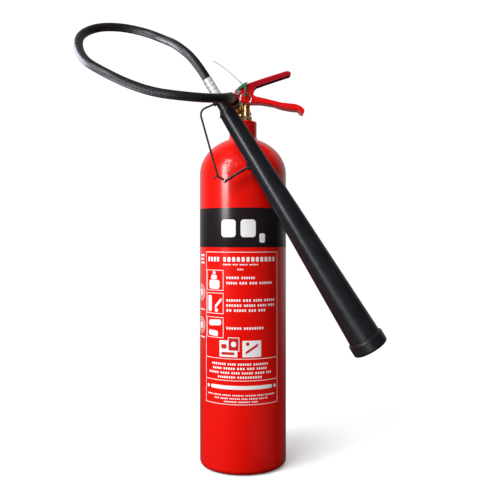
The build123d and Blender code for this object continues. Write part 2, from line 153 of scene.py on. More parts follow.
def tube(name, path, radius_at, sides=40):
    """A closed round tube along path. radius_at(s, angle) gives its radius. UVs run along it in metres."""
    bm = bmesh.new()
    uv = bm.loops.layers.uv.new("UVMap")
    t = [(b - a).normalized() for a, b in zip(path, path[1:])]
    tangents = [t[0]] + [(a + b).normalized() for a, b in zip(t, t[1:])] + [t[-1]]
    n = tangents[0].orthogonal().normalized()
    rings, s, dist = [], 0.0, []
    for i, (p, d) in enumerate(zip(path, tangents)):
        if i:
            s += (p - path[i - 1]).length
            n = (n - d * n.dot(d)).normalized()
        b = d.cross(n)
        ring = []
        for k in range(sides):
            a = 2 * math.pi * k / sides
            r = radius_at(s, a)
            ring.append(bm.verts.new(p + (n * math.cos(a) + b * math.sin(a)) * r))
        rings.append(ring)
        dist.append(s)
    for i in range(len(rings) - 1):
        for k in range(sides):
            k2 = (k + 1) % sides
            f = bm.faces.new((rings[i][k], rings[i][k2], rings[i + 1][k2], rings[i + 1][k]))
            ks = (k, k + 1, k + 1, k)
            ss = (dist[i], dist[i], dist[i + 1], dist[i + 1])
            for loop, kk, sv in zip(f.loops, ks, ss):
                loop[uv].uv = (kk / sides, sv)
    for ring in (rings[0], rings[-1]):
        f = bm.faces.new(ring)
        for loop in f.loops:
            loop[uv].uv = (0.0, 0.0)
    return mesh_object(name, bm)


line = follow(ROUTE)
hose_path, hose_len = resample(line, 0.0011)
print("hose length", round(hose_len, 4))


def hose_radius(s, a):
    # wrapped rubber cover: a low tape edge runs round the hose in a helix
    phase = (s / 0.0118 - a / (2 * math.pi)) % 1.0
    edge = math.exp(-((phase - 0.5) / 0.09) ** 2)
    return HOSE_D / 2 - 0.00006 - 0.00009 * edge


hose = tube("hose_cover", hose_path, hose_radius, 40)
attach(hose, SWIVEL)
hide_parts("hose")

# ------------------------------------------------------------------ material tools


class Mat:
    """A principled material with small helpers for procedural detail in object coordinates."""

    def __init__(self, name, color, rough=0.4, metal=0.0):
        self.m = bpy.data.materials.new(name)
        self.m.use_nodes = True
        self.nt = self.m.node_tree
        self.nt.nodes.clear()
        self.out = self.nt.nodes.new("ShaderNodeOutputMaterial")
        self.b = self.nt.nodes.new("ShaderNodeBsdfPrincipled")
        self.nt.links.new(self.b.outputs[0], self.out.inputs[0])
        self.b.inputs["Base Color"].default_value = (*color, 1)
        self.b.inputs["Roughness"].default_value = rough
        self.b.inputs["Metallic"].default_value = metal
        self.tc = self.nt.nodes.new("ShaderNodeTexCoord")
        self.last_bump = None

    def set(self, **kw):
        for k, v in kw.items():
            self.b.inputs[k.replace("_", " ")].default_value = v
        return self

    def link(self, a, b):
        self.nt.links.new(a, b)

    def vec(self, scale=(1, 1, 1), rot=(0, 0, 0), source="Object"):
        mp = self.nt.nodes.new("ShaderNodeMapping")
        mp.inputs["Scale"].default_value = scale
        mp.inputs["Rotation"].default_value = rot
        self.link(self.tc.outputs[source], mp.inputs["Vector"])
        return mp.outputs[0]

    def noise(self, scale, detail=3.0, rough=0.5, vec=None, distortion=0.0):
        n = self.nt.nodes.new("ShaderNodeTexNoise")
        n.inputs["Scale"].default_value = scale
        n.inputs["Detail"].default_value = detail
        n.inputs["Roughness"].default_value = rough
        n.inputs["Distortion"].default_value = distortion
        self.link(vec or self.tc.outputs["Object"], n.inputs["Vector"])
        return n.outputs["Fac"]

    def voronoi(self, scale, vec=None, feature="F1", out="Distance"):
        n = self.nt.nodes.new("ShaderNodeTexVoronoi")
        n.feature = feature
        n.inputs["Scale"].default_value = scale
        self.link(vec or self.tc.outputs["Object"], n.inputs["Vector"])
        return n.outputs[out]

    def wave(self, scale, direction="Z", kind="BANDS", vec=None, distortion=0.0, detail=2.0, profile="SIN"):
        n = self.nt.nodes.new("ShaderNodeTexWave")
        n.wave_type = kind
        n.wave_profile = profile
        if kind == "BANDS":
            n.bands_direction = direction
        else:
            n.rings_direction = direction
        n.inputs["Scale"].default_value = scale
        n.inputs["Distortion"].default_value = distortion
        n.inputs["Detail"].default_value = detail
        self.link(vec or self.tc.outputs["Object"], n.inputs["Vector"])
        return n.outputs["Fac"]

    def ramp(self, fac, stops):
        r = self.nt.nodes.new("ShaderNodeValToRGB")
        els = r.color_ramp.elements
        while len(els) < len(stops):
            els.new(0.5)
        for e, (p, c) in zip(els, stops):
            e.position = p
            e.color = (c, c, c, 1) if isinstance(c, (int, float)) else (*c, 1)
        self.link(fac, r.inputs["Fac"])
        return r.outputs["Color"]

    def mapr(self, fac, a, b, lo=0.0, hi=1.0):
        n = self.nt.nodes.new("ShaderNodeMapRange")
        n.inputs["From Min"].default_value = lo
        n.inputs["From Max"].default_value = hi
        n.inputs["To Min"].default_value = a
        n.inputs["To Max"].default_value = b
        self.link(fac, n.inputs["Value"])
        return n.outputs["Result"]

    def math(self, op, a, b=None):
        n = self.nt.nodes.new("ShaderNodeMath")
        n.operation = op
        for i, v in enumerate((a, b)):
            if v is None:
                continue
            if isinstance(v, (int, float)):
                n.inputs[i].default_value = v
            else:
                self.link(v, n.inputs[i])
        return n.outputs[0]

    def mix(self, fac, a, b, blend="MIX"):
        n = self.nt.nodes.new("ShaderNodeMix")
        n.data_type = "RGBA"
        n.blend_type = blend
        n.clamp_factor = True
        if isinstance(fac, (int, float)):
            n.inputs[0].default_value = fac
        else:
            self.link(fac, n.inputs[0])
        for i, v in ((6, a), (7, b)):
            if isinstance(v, tuple):
                n.inputs[i].default_value = (*v, 1) if len(v) == 3 else v
            else:
                self.link(v, n.inputs[i])
        return n.outputs[2]

    def z(self):
        n = self.nt.nodes.new("ShaderNodeSeparateXYZ")
        self.link(self.tc.outputs["Object"], n.inputs[0])
        return n.outputs[2]

    def color(self, out):
        self.link(out, self.b.inputs["Base Color"])
        return self

    def rough(self, out):
        self.link(out, self.b.inputs["Roughness"])
        return self

    def metal(self, out):
        self.link(out, self.b.inputs["Metallic"])
        return self

    def bump(self, height, distance, strength=1.0):
        n = self.nt.nodes.new("ShaderNodeBump")
        n.inputs["Strength"].default_value = strength
        n.inputs["Distance"].default_value = distance
        self.link(height, n.inputs["Height"])
        if self.last_bump is not None:
            self.link(self.last_bump, n.inputs["Normal"])
        self.last_bump = n.outputs[0]
        self.link(self.last_bump, self.b.inputs["Normal"])
        return self


# ------------------------------------------------------------------ materials
# red stove enamel on the cylinder: faint orange peel, clear gloss, scuffs at the foot
red = Mat("red_enamel", (0.86, 0.006, 0.002), 0.2)
red.set(Coat_Weight=0.75, Coat_Roughness=0.1, Coat_IOR=1.5, Specular_IOR_Level=0.35)
tone = red.mix(red.ramp(red.noise(9.0, 4.0, 0.6), [(0.35, 0.0), (0.7, 1.0)]), (0.88, 0.006, 0.002), (0.82, 0.005, 0.002))
fleck = red.ramp(red.noise(2600.0, 2.0, 0.5), [(0.70, 0.0), (0.78, 1.0)])
tone = red.mix(red.math("MULTIPLY", fleck, 0.3), tone, (0.95, 0.04, 0.02))
foot = red.math("ADD", red.mapr(red.z(), 1.0, 0.0, 0.0006, 0.0058), red.mapr(red.noise(260.0, 5.0, 0.65), -0.9, 0.75))
worn = red.ramp(foot, [(0.58, 0.0), (0.70, 1.0)])
tone = red.mix(worn, tone, (0.30, 0.28, 0.27))
scratch = red.ramp(red.noise(1.0, 4.0, 0.7, red.vec((24.0, 24.0, 900.0), (0.35, 0.12, 0.0))), [(0.735, 0.0), (0.76, 1.0)])
red.color(red.mix(red.math("MULTIPLY", scratch, 0.12), tone, (0.95, 0.12, 0.09)))
red.rough(red.math("ADD", red.mapr(red.noise(38.0, 4.0, 0.6), 0.17, 0.25), red.math("MULTIPLY", worn, 0.35)))
red.metal(red.math("MULTIPLY", worn, 0.8))
red.bump(red.noise(520.0, 2.0, 0.4), 0.000016)
red.bump(red.math("SUBTRACT", 1.0, worn), 0.00008)

# red powder coat on the grips; the operating lever turns a deeper crimson, partly its own darker red and partly painted
# shade
grip_red = Mat("red_powder_coat", (0.84, 0.006, 0.006), 0.2)
grip_red.set(Coat_Weight=0.45, Coat_Roughness=0.1, Specular_IOR_Level=0.45)
gt = grip_red.mix(grip_red.ramp(grip_red.noise(60.0, 4.0, 0.6), [(0.35, 0.0), (0.7, 1.0)]), (0.72, 0.006, 0.006), (0.62, 0.004, 0.006))
# above z 0.600 to 0.612 the red deepens to crimson on the operating lever: partly its own red, partly painted shade
lever_red_and_shade = grip_red.ramp(grip_red.mapr(grip_red.z(), 0.0, 1.0, 0.6000, 0.6120), [(0.0, 0.0), (1.0, 1.0)])
gt = grip_red.mix(lever_red_and_shade, gt, (0.36, 0.003, 0.009))
chip = grip_red.ramp(grip_red.noise(420.0, 4.0, 0.7), [(0.735, 0.0), (0.76, 1.0)])
gt = grip_red.mix(grip_red.math("MULTIPLY", chip, 0.5), gt, (0.30, 0.10, 0.09))
grip_red.color(gt)
grip_red.rough(grip_red.mapr(grip_red.noise(120.0, 4.0, 0.6), 0.16, 0.30))
grip_red.bump(grip_red.noise(900.0, 3.0, 0.5), 0.00003)
grip_red.bump(grip_red.math("SUBTRACT", 1.0, chip), 0.00003)

# machined brass, lightly tarnished
brass = Mat("brass_machined", (0.83, 0.60, 0.28), 0.22, 1.0)
br = brass.mix(brass.ramp(brass.noise(160.0, 5.0, 0.62), [(0.3, 0.0), (0.72, 1.0)]), (0.90, 0.70, 0.38), (0.66, 0.40, 0.13))
br = brass.mix(brass.math("MULTIPLY", brass.ramp(brass.noise(45.0, 4.0, 0.6), [(0.52, 0.0), (0.75, 1.0)]), 0.45), br, (0.36, 0.20, 0.07))
brass.color(br)
brass.rough(brass.mapr(brass.noise(240.0, 5.0, 0.6), 0.14, 0.36))
brass.bump(brass.wave(520.0, "Z", distortion=1.2), 0.000012)
brass.bump(brass.noise(1500.0, 3.0, 0.5), 0.000008)

copper = Mat("copper_disc_satin", (0.78, 0.42, 0.28), 0.3, 1.0)
copper.color(copper.mix(copper.ramp(copper.noise(600.0, 4.0), [(0.3, 0.0), (0.7, 1.0)]), (0.80, 0.44, 0.30), (0.56, 0.26, 0.16)))
copper.bump(copper.noise(2500.0, 2.0), 0.00001)


def bright(name, tint, r0, r1, lines):
    m = Mat(name, tint, (r0 + r1) / 2, 1.0)
    dark = tuple(c * 0.72 for c in tint)
    m.color(m.mix(m.ramp(m.noise(130.0, 3.0, 0.5), [(0.35, 0.0), (0.75, 1.0)]), tint, dark))
    m.rough(m.mapr(m.noise(300.0, 4.0, 0.6), r0, r1))
    m.bump(m.noise(1.0, 2.0, 0.5, m.vec(lines)), 0.000002)
    return m


stainless = bright("stainless_turned", (0.74, 0.74, 0.75), 0.18, 0.34, (300.0, 300.0, 3200.0))
zinc = bright("zinc_plate", (0.86, 0.86, 0.87), 0.10, 0.26, (900.0, 900.0, 900.0))
alu_dip = bright("aluminium_tube", (0.80, 0.80, 0.82), 0.26, 0.42, (2500.0, 2500.0, 60.0))

# crimped aluminium sleeve, with fine marks along it
alu = Mat("aluminium_crimped", (0.90, 0.90, 0.91), 0.36, 0.6)
alu.color(alu.mix(alu.ramp(alu.noise(220.0, 4.0, 0.6), [(0.35, 0.0), (0.75, 1.0)]), (0.94, 0.93, 0.94), (0.85, 0.84, 0.86)))
alu.rough(alu.mapr(alu.noise(500.0, 3.0, 0.5), 0.36, 0.44))
alu.bump(alu.noise(1.0, 2.0, 0.5, alu.vec((900.0, 900.0, 90.0), (0.0, math.radians(31.5), 0.0))), 0.000002)

# thin painted wire, worn to brown
wire = Mat("wire_dark_lacquer", (0.055, 0.024, 0.027), 0.34, 0.35)
wr = wire.mix(wire.ramp(wire.noise(210.0, 5.0, 0.65), [(0.40, 0.0), (0.68, 1.0)]), (0.050, 0.018, 0.022), (0.11, 0.045, 0.045))
wire.color(wire.mix(wire.ramp(wire.noise(900.0, 3.0, 0.6), [(0.70, 0.0), (0.76, 1.0)]), wr, (0.24, 0.17, 0.15)))
wire.rough(wire.mapr(wire.noise(400.0, 4.0), 0.26, 0.46))
wire.bump(wire.noise(1400.0, 3.0), 0.00002)

# black coated sleeve at the valve
black_metal = Mat("black_coated_sleeve", (0.010, 0.011, 0.014), 0.45)
black_metal.color(black_metal.mix(black_metal.ramp(black_metal.noise(150.0, 5.0), [(0.3, 0.0), (0.75, 1.0)]), (0.008, 0.009, 0.011), (0.016, 0.017, 0.020)))
black_metal.rough(black_metal.mapr(black_metal.noise(420.0, 4.0), 0.38, 0.52))
black_metal.bump(black_metal.noise(1800.0, 3.0), 0.000018)

# hose: wrapped black rubber, with the cloth's imprint
rubber = Mat("rubber_cloth_imprint", (0.016, 0.016, 0.019), 0.44)
rubber.set(Specular_IOR_Level=0.5)
rub = rubber.mix(rubber.ramp(rubber.noise(46.0, 5.0, 0.62), [(0.32, 0.0), (0.72, 1.0)]), (0.005, 0.005, 0.006), (0.010, 0.010, 0.012))
dust = rubber.ramp(rubber.noise(700.0, 4.0, 0.7), [(0.62, 0.0), (0.80, 1.0)])
rubber.color(rubber.mix(rubber.math("MULTIPLY", dust, 0.2), rub, (0.04, 0.04, 0.05)))
rubber.rough(rubber.mapr(rubber.noise(180.0, 4.0, 0.6), 0.30, 0.46))
warp = rubber.wave(1.0, "X", vec=rubber.vec((22.0 * 2 * math.pi / 6.2832, 0.0, 0.0), source="UV"))
weft = rubber.wave(1.0, "Y", vec=rubber.vec((0.0, 330.0, 0.0), source="UV"))
rubber.bump(rubber.math("MULTIPLY", warp, weft), 0.00003, 0.6)
rubber.bump(rubber.noise(1400.0, 2.0), 0.00001)

# horn and grip: moulded black plastic with a fine grain and a few handling marks
plastic = Mat("horn_moulded_plastic", (0.009, 0.009, 0.011), 0.28)
plastic.set(Specular_IOR_Level=0.55)
pl = plastic.mix(plastic.ramp(plastic.noise(30.0, 5.0, 0.6), [(0.3, 0.0), (0.75, 1.0)]), (0.008, 0.008, 0.010), (0.014, 0.014, 0.017))
mark = plastic.ramp(plastic.noise(1.0, 5.0, 0.7, plastic.vec((60.0, 60.0, 60.0), (0.0, math.radians(31.5), 0.0))), [(0.66, 0.0), (0.82, 1.0)])
plastic.color(plastic.mix(plastic.math("MULTIPLY", mark, 0.18), pl, (0.05, 0.05, 0.06)))
plastic.rough(plastic.mapr(plastic.noise(90.0, 5.0, 0.6), 0.24, 0.36))
plastic.bump(plastic.voronoi(2400.0), 0.000022)
plastic.bump(plastic.noise(300.0, 3.0, 0.5), 0.00002)

oring = Mat("o_ring_rubber_black", (0.012, 0.012, 0.012), 0.6)
oring.color(oring.mix(oring.ramp(oring.noise(900.0), [(0.3, 0.0), (0.7, 1.0)]), (0.010, 0.010, 0.010), (0.022, 0.022, 0.022)))
oring.bump(oring.noise(3000.0, 3.0), 0.00001)

nylon = Mat("nylon_turned", (0.80, 0.79, 0.72), 0.45)
nylon.set(Subsurface_Weight=0.2, Subsurface_Radius=(0.002, 0.002, 0.0015))
nylon.color(nylon.mix(nylon.ramp(nylon.noise(700.0), [(0.3, 0.0), (0.7, 1.0)]), (0.82, 0.81, 0.74), (0.72, 0.70, 0.62)))
nylon.bump(nylon.wave(900.0, "Z"), 0.00001)

green = Mat("seal_green_plastic", (0.010, 0.26, 0.12), 0.32)
green.set(Subsurface_Weight=0.12, Subsurface_Radius=(0.001, 0.003, 0.0015))
pale = green.ramp(green.mapr(green.z(), 0.0, 1.0, 0.6150, 0.6215), [(0.0, 0.0), (1.0, 1.0)])
gcol = green.mix(green.ramp(green.noise(500.0, 4.0), [(0.3, 0.0), (0.75, 1.0)]), (0.008, 0.27, 0.12), (0.006, 0.17, 0.08))
green.color(green.mix(pale, gcol, (0.46, 0.63, 0.56)))
green.rough(green.mapr(green.noise(800.0, 3.0), 0.24, 0.42))
green.bump(green.noise(1600.0, 3.0), 0.00002)

ASSIGN = {
    "cylinder_shell": red, "neck_ring": red,
    "carry_handle": grip_red, "operating_lever": grip_red,
    "valve_body": brass, "spring_seat_plug": brass, "gland_nut": brass, "burst_disc_plug": brass,
    "outlet_union_nut": brass, "hose_nipple": brass, "horn_nipple": brass, "horn_jet": brass,
    "burst_disc": copper,
    "valve_spindle": stainless, "valve_spring": stainless,
    "safety_pin": zinc, "pull_ring": zinc, "lever_pivot_pin": zinc, "handle_stay": zinc, "handle_jam_nut": zinc,
    "dip_tube": alu_dip, "hose_sleeve_horn_end": alu,
    "wire_handle": wire, "hose_sleeve_valve_end": black_metal,
    "horn_grip": plastic, "discharge_horn": plastic,
    "spindle_o_ring": oring, "burst_disc_washer": nylon, "valve_seat": nylon, "spindle_seal": nylon,
    "tamper_seal": green, "hose": rubber,
}
for name, ob in NODES.items():
    m = ASSIGN[name].m
    if ob.data.materials:
        for i in range(len(ob.data.materials)):
            ob.data.materials[i] = m
    else:
        ob.data.materials.append(m)
hose.data.materials.append(rubber.m)

# the valve's spring, a copy of its part baked in place; the real spring shortens between its seat and the spindle's
# collar
cad_spring = NODES["valve_spring"]
spring = bpy.data.objects.new("valve_spring_coil", cad_spring.data.copy())
coll.objects.link(spring)
bpy.context.view_layer.update()
spring.matrix_world = cad_spring.matrix_world.copy()
bpy.context.view_layer.update()
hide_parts("valve_spring")
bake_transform(spring)

# ------------------------------------------------------------------ printing on the cylinder
CYL_R = 0.070
LABEL_C = math.radians(-3.7)      # the label's centre line, measured from the front


def wrap(u, z, r):
    """u is millimetres round the cylinder from the label's centre line, z millimetres up."""
    a = LABEL_C + u / 70.0
    return Vector((math.sin(a) * r, -math.cos(a) * r, z / 1000.0))


def strip(bm, columns, r_in, r_out):
    """A thin closed slab on the cylinder, from columns of (u, low z, high z)."""
    back, front = [], []
    for u, zl, zh in columns:
        back.append((bm.verts.new(wrap(u, zl, r_in)), bm.verts.new(wrap(u, zh, r_in))))
        front.append((bm.verts.new(wrap(u, zl, r_out)), bm.verts.new(wrap(u, zh, r_out))))
    for i in range(len(columns) - 1):
        (bl, bh), (bl2, bh2) = back[i], back[i + 1]
        (fl, fh), (fl2, fh2) = front[i], front[i + 1]
        bm.faces.new((fl, fl2, fh2, fh))
        bm.faces.new((bl, bh, bh2, bl2))
        bm.faces.new((fl, bl, bl2, fl2))
        bm.faces.new((fh, fh2, bh2, bh))
    for i in (0, -1):
        bm.faces.new((back[i][0], front[i][0], front[i][1], back[i][1]))


R_IN, R_OUT = CYL_R + 0.00002, CYL_R + 0.00009


def steps(u0, u1, most=2.0):
    n = max(1, int(math.ceil((u1 - u0) / most)))
    return [u0 + (u1 - u0) * i / n for i in range(n + 1)]


def bar(bm, u0, u1, z0, z1, corner=0.0, r_in=R_IN, r_out=R_OUT, slant=0.0):
    cols = []
    c = min(corner, (u1 - u0) / 2, (z1 - z0) / 2)
    us = set(steps(u0, u1))
    if c > 0:
        for k in range(7):
            d = c * (1 - math.cos(math.pi / 2 * k / 6))
            us.add(u0 + d)
            us.add(u1 - d)
    for u in sorted(us):
        edge = min(u - u0, u1 - u)
        cut = 0.0
        if c > 0 and edge < c:
            cut = c - math.sqrt(max(0.0, c * c - (c - edge) ** 2))
        sh = slant * (u - u0) / max(1e-6, u1 - u0)
        if z1 - z0 - 2 * cut < 0.02:
            cut = (z1 - z0 - 0.02) / 2
        cols.append((u, z0 + cut + sh, z1 - cut + sh))
    clean = [cols[0]]
    for q in cols[1:]:
        if q[0] - clean[-1][0] > 0.01:
            clean.append(q)
    strip(bm, clean, r_in, r_out)


def disc(bm, u, z, r, r_in=R_IN, r_out=R_OUT, n=28):
    cols = []
    for i in range(n + 1):
        a = math.pi * i / n
        x, h = -r * math.cos(a), max(0.01, r * math.sin(a))
        cols.append((u + x, z - h, z + h))
    strip(bm, cols, r_in, r_out)


def ring(bm, u, z, r0, r1, r_in=R_IN, r_out=R_OUT, n=48):
    rows = []
    for i in range(n):
        a = 2 * math.pi * i / n
        rows.append([bm.verts.new(wrap(u + math.cos(a) * q, z + math.sin(a) * q, r))
                     for q, r in ((r0, r_in), (r1, r_in), (r1, r_out), (r0, r_out))])
    for i in range(n):
        a, b = rows[i], rows[(i + 1) % n]
        for k in range(4):
            k2 = (k + 1) % 4
            bm.faces.new((a[k], a[k2], b[k2], b[k]))


def frame_box(bm, u0, u1, z0, z1, w):
    bar(bm, u0, u0 + w, z0, z1)
    bar(bm, u1 - w, u1, z0, z1)
    bar(bm, u0 + w, u1 - w, z0, z0 + w)
    bar(bm, u0 + w, u1 - w, z1 - w, z1)


rng = random.Random(7)


def words(bm, u0, u1, zc, h, gap, shortest, longest, pitch=4.0):
    """A line of blocks that stands for a line of print."""
    u = u0
    while u < u1 - shortest * 0.6:
        w = min(rng.uniform(shortest, longest), u1 - u)
        if u1 - (u + w + gap) < shortest * 0.6:
            w = u1 - u
        n = max(1, int(round(w / pitch))) if pitch else 1
        for k in range(n):
            a, b = u + w * k / n, u + w * (k + 1) / n
            bar(bm, a, b - (0.34 * (b - a) if pitch else 0.0), zc - h / 2, zc + h / 2, corner=h * 0.2)
        u += w + gap


# black band all round, in one closed hoop
bm = bmesh.new()
hoop = []
N_HOOP = 240
Z_LO, Z_HI = 0.352, 0.413
for i in range(N_HOOP):
    a = 2 * math.pi * i / N_HOOP
    hoop.append([bm.verts.new((math.sin(a) * r, -math.cos(a) * r, z)) for r, z in
                 ((CYL_R + 0.00002, Z_LO), (CYL_R + 0.00006, Z_LO), (CYL_R + 0.00008, Z_LO + 0.0001), (CYL_R + 0.00008, Z_HI - 0.0001),
                  (CYL_R + 0.00006, Z_HI), (CYL_R + 0.00002, Z_HI))])
for i in range(N_HOOP):
    a, b = hoop[i], hoop[(i + 1) % N_HOOP]
    for k in range(6):
        k2 = (k + 1) % 6
        bm.faces.new((a[k], b[k], b[k2], a[k2]))
band = mesh_object("label_black_band", bm, 60)

# white print
bm = bmesh.new()
B_IN, B_OUT = CYL_R + 0.00009, CYL_R + 0.00015
# plain blocks where the agent's name stands on the real object
bar(bm, -29.5, -6.0, 367.6, 394.8, corner=5.0, r_in=B_IN, r_out=B_OUT)
bar(bm, 1.5, 25.0, 367.6, 394.8, corner=5.0, r_in=B_IN, r_out=B_OUT)
bar(bm, 31.0, 40.6, 359.2, 373.6, corner=3.0, r_in=B_IN, r_out=B_OUT)
# frame with two separators
frame_box(bm, -62.8, 66.2, 110.0, 345.0, 0.9)
bar(bm, -61.9, 65.3, 180.1, 181.0)
bar(bm, -61.9, 65.3, 146.6, 147.5)
# heading
words(bm, -56.7, -31.5, 333.5, 7.2, 2.0, 25.0, 26.0, 6.3)
words(bm, -26.5, 62.2, 333.5, 7.2, 2.0, 89.0, 90.0, 7.4)
words(bm, -26.8, 29.7, 325.4, 2.2, 2.2, 8.0, 17.0, 2.8)
words(bm, -3.5, 6.5, 318.0, 2.2, 2.0, 10.0, 11.0, 3.3)
# three framed squares with plain figures and lines of print beside them
for z0, z1 in ((284.9, 316.9), (249.0, 281.4), (211.9, 243.9)):
    frame_box(bm, -59.6, -26.0, z0, z1, 0.9)
bar(bm, -54.0, -33.0, 287.5, 301.5, corner=4.0)
bar(bm, -50.0, -38.0, 302.5, 309.0, corner=2.5)
disc(bm, -43.5, 312.4, 2.8)
bar(bm, -56.5, -48.5, 252.0, 277.5, corner=3.0)
bar(bm, -42.0, -29.5, 256.0, 261.5, corner=1.8, slant=13.0)
disc(bm, -39.0, 254.5, 3.0)
bar(bm, -54.5, -30.0, 230.0, 239.0, corner=3.0, slant=1.5)
bar(bm, -55.0, -36.0, 215.5, 224.0, corner=3.0, slant=-1.5)
words(bm, -21.0, 24.8, 305.1, 3.8, 2.6, 12.0, 30.0)
words(bm, -21.0, 55.0, 297.0, 3.8, 2.6, 12.0, 26.0)
words(bm, -21.0, 60.0, 270.4, 3.8, 2.6, 12.0, 26.0)
words(bm, -21.0, 60.0, 262.6, 3.8, 2.6, 9.0, 26.0)
words(bm, -21.0, 42.5, 255.0, 3.8, 2.6, 9.0, 22.0)
words(bm, -21.0, 38.9, 227.5, 3.8, 2.6, 24.0, 32.0)
# two plain plaques, the first with a small framed corner
bar(bm, -33.0, -3.3, 183.5, 208.6, corner=1.0)
bar(bm, -18.4, -0.6, 192.4, 213.6, corner=0.6, r_in=CYL_R + 0.00010, r_out=CYL_R + 0.00012)
disc(bm, -9.4, 203.0, 4.2, CYL_R + 0.00017, CYL_R + 0.00019)
bar(bm, 4.3, 33.8, 183.5, 208.6, corner=1.0)
# small print
words(bm, -47.4, 47.0, 172.2, 3.4, 2.4, 10.0, 30.0, 3.8)
words(bm, -45.5, 44.5, 165.6, 3.4, 2.4, 12.0, 26.0, 3.8)
words(bm, -53.5, 53.0, 158.8, 3.4, 2.4, 8.0, 26.0, 3.8)
words(bm, -36.0, 36.0, 152.2, 3.4, 2.4, 16.0, 34.0, 3.8)
# plain rule with a dot at each end, then three fine lines
bar(bm, -50.0, 54.0, 133.6, 139.4, corner=2.8)
disc(bm, -56.0, 136.5, 2.6)
disc(bm, 59.5, 136.5, 2.6)
words(bm, -57.0, 60.0, 124.4, 2.2, 1.8, 8.0, 20.0, 2.7)
words(bm, -42.0, 46.0, 119.4, 2.2, 1.8, 8.0, 20.0, 2.7)
words(bm, -25.0, 29.0, 114.6, 2.2, 1.8, 12.0, 24.0, 2.7)
# plain round marks to the left of the frame
for z in (280.0, 228.0):
    ring(bm, -80.5, z, 11.8, 13.0)
    disc(bm, -80.5, z, 6.0)
    ring(bm, -80.5, z, 8.4, 9.3)
bar(bm, -88.0, -67.5, 252.4, 254.4, corner=0.8)
bar(bm, -88.0, -67.5, 208.6, 210.6, corner=0.8)
bar(bm, -84.0, -68.5, 337.4, 340.6, corner=1.2)
bar(bm, -84.0, -70.5, 331.6, 334.6, corner=1.2)
bar(bm, -84.0, -68.5, 325.8, 328.8, corner=1.2)
white_print = mesh_object("label_white_print", bm, 60)

# red figures on the two plaques
bm = bmesh.new()
P_IN, P_OUT = CYL_R + 0.0001, CYL_R + 0.00015
bar(bm, -17.4, -1.6, 193.4, 212.6, corner=0.4, r_in=CYL_R + 0.00013, r_out=CYL_R + 0.00016)
bar(bm, -30.0, -20.5, 196.0, 203.0, corner=2.6, r_in=P_IN, r_out=P_OUT)
bar(bm, -29.5, -8.0, 186.5, 190.8, corner=2.0, r_in=P_IN, r_out=P_OUT)
bar(bm, 9.0, 29.0, 187.4, 191.6, corner=1.6, r_in=P_IN, r_out=P_OUT, slant=13.0)
disc(bm, 12.4, 203.6, 2.8, P_IN, P_OUT)
plaque_red = mesh_object("label_plaque_figures", bm, 60)

band_m = Mat("band_black_ink", (0.016, 0.012, 0.014), 0.22)
band_m.set(Coat_Weight=0.15, Coat_Roughness=0.09, Specular_IOR_Level=0.4)
bt = band_m.mix(band_m.ramp(band_m.noise(14.0, 4.0), [(0.35, 0.0), (0.7, 1.0)]), (0.013, 0.009, 0.011), (0.019, 0.013, 0.015))
bs = band_m.ramp(band_m.noise(1.0, 4.0, 0.7, band_m.vec((24.0, 24.0, 900.0), (0.3, 0.1, 0.0))), [(0.72, 0.0), (0.76, 1.0)])
band_m.color(band_m.mix(band_m.math("MULTIPLY", bs, 0.2), bt, (0.10, 0.09, 0.09)))
band_m.rough(band_m.mapr(band_m.noise(40.0, 4.0), 0.19, 0.28))
band_m.bump(band_m.noise(520.0, 2.0, 0.4), 0.000014)

ink = Mat("white_screen_ink", (0.84, 0.82, 0.83), 0.32)
ink.set(Coat_Weight=0.3, Coat_Roughness=0.1)
it = ink.mix(ink.ramp(ink.noise(120.0, 5.0, 0.65), [(0.35, 0.0), (0.75, 1.0)]), (0.97, 0.96, 0.97), (0.92, 0.89, 0.90))
pin = ink.ramp(ink.noise(1900.0, 3.0, 0.6), [(0.715, 0.0), (0.75, 1.0)])
ink.color(ink.mix(ink.math("MULTIPLY", pin, 0.4), it, (0.86, 0.35, 0.33)))
ink.rough(ink.mapr(ink.noise(220.0, 4.0), 0.26, 0.40))
ink.bump(ink.noise(900.0, 3.0, 0.5), 0.000014)

pr = Mat("red_screen_ink", (0.62, 0.012, 0.010), 0.3)
pr.color(pr.mix(pr.ramp(pr.noise(300.0, 4.0), [(0.35, 0.0), (0.75, 1.0)]), (0.66, 0.014, 0.010), (0.52, 0.010, 0.010)))
pr.bump(pr.noise(900.0, 3.0, 0.5), 0.000014)

for ob, m in ((band, band_m), (white_print, ink), (plaque_red, pr)):
    ob.data.materials.append(m.m)
    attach(ob, BODY)

# ------------------------------------------------------------------ floor, lights, world
me = bpy.data.meshes.new("floor")
me.from_pydata([(-0.9, -0.27, 0), (0.9, -0.27, 0), (0.9, 0.56, 0), (-0.9, 0.56, 0)], [], [(0, 1, 2, 3)])
floor = bpy.data.objects.new("floor", me)
coll.objects.link(floor)
floor.location.z = -0.0002
fm = Mat("floor_pale", (0.90, 0.90, 0.90), 0.75)
fm.set(Specular_IOR_Level=0.1, Emission_Strength=0.26)
fm.b.inputs["Emission Color"].default_value = (1, 1, 1, 1)
fm.color(fm.mix(fm.ramp(fm.noise(3.0, 2.0), [(0.3, 0.0), (0.7, 1.0)]), (0.90, 0.90, 0.90), (0.885, 0.885, 0.885)))
floor.data.materials.append(fm.m)
floor.visible_glossy = False
floor.visible_diffuse = False


def area(name, loc, target, w, h, radiance, color=(1, 1, 1), glossy=True):
    li = bpy.data.lights.new(name, "AREA")
    li.shape = "RECTANGLE"
    li.size, li.size_y = w, h
    li.energy = radiance * math.pi * w * h
    li.color = color
    ob = bpy.data.objects.new(name, li)
    ob.location = loc
    d = (Vector(target) - Vector(loc)).normalized()
    ob.rotation_mode = "QUATERNION"
    ob.rotation_quaternion = d.to_track_quat("-Z", "Y")
    ob.visible_glossy = glossy
    ob.visible_camera = False
    coll.objects.link(ob)
    return ob


def only_for(light, names, objs=()):
    """The light reaches these pieces alone, as a small card held near them would."""
    c = bpy.data.collections.new(light.name + "_on")
    for n in names:
        c.objects.link(NODES[n])
    for o in objs:
        c.objects.link(o)
    light.light_linking.receiver_collection = c


